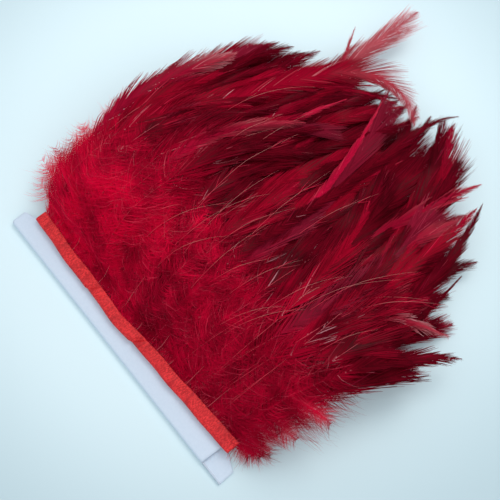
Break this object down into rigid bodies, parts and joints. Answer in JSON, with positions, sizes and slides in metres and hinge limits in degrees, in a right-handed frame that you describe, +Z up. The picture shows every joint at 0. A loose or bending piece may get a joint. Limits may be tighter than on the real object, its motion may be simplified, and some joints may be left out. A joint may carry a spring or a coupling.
{
  "type": "strung rooster feathers",
  "caption": "Fringe of strung rooster feathers: quills bound in a folded satin ribbon, downy at the base with glossy pointed tips, lying on a folded white card strip.",
  "frame": {"origin": "on the card's flat underside, below the middle of the ribbon's length", "axes": "+X along the ribbon, +Y from the ribbon towards the feather tips, +Z up from the surface that the trim lies on"},
  "size_m": [0.1868, 0.2076, 0.0296],
  "materials": {
    "card": "matte",
    "ribbon": "satin",
    "feather_bright": "matte",
    "feather_dark": "satin",
    "feather_mauve": "satin",
    "feather_pale": "matte"
  },
  "bodies": {
    "root": {"card": "card", "ribbon": "ribbon", "feather_01": "feather_bright", "feather_02": "feather_dark", "feather_03": "feather_bright", "feather_04": "feather_mauve", "feather_05": "feather_dark", "feather_06": "feather_bright", "feather_07": "feather_dark", "feather_08": "feather_bright", "feather_09": "feather_bright", "feather_10": "feather_dark", "feather_11": "feather_bright", "feather_12": "feather_mauve", "feather_13": "feather_dark", "feather_14": "feather_bright", "feather_15": "feather_dark", "feather_16": "feather_bright", "feather_17": "feather_mauve", "feather_18": "feather_dark", "feather_19": "feather_bright", "feather_20": "feather_dark", "feather_21": "feather_bright", "feather_22": "feather_bright", "feather_23": "feather_dark", "feather_24": "feather_bright", "feather_25": "feather_mauve", "feather_26": "feather_dark", "feather_27": "feather_bright", "feather_28": "feather_dark", "feather_29": "feather_bright", "feather_30": "feather_bright", "feather_31": "feather_dark", "feather_32": "feather_bright", "feather_33": "feather_dark", "feather_34": "feather_dark", "feather_35": "feather_bright", "feather_36": "feather_dark", "feather_37": "feather_bright", "feather_38": "feather_mauve", "feather_39": "feather_dark", "feather_40": "feather_bright", "feather_41": "feather_dark", "feather_42": "feather_bright", "feather_43": "feather_bright", "feather_44": "feather_dark", "feather_45": "feather_bright", "feather_46": "feather_mauve", "feather_47": "feather_dark", "feather_48": "feather_bright", "feather_49": "feather_dark", "feather_50": "feather_bright", "feather_51": "feather_mauve", "feather_52": "feather_dark", "feather_53": "feather_bright", "feather_54": "feather_dark", "feather_long": "feather_pale", "feather_hooked": "feather_bright", "feather_curled": "feather_dark", "feather_side": "feather_dark"}
  },
  "joints": []
}
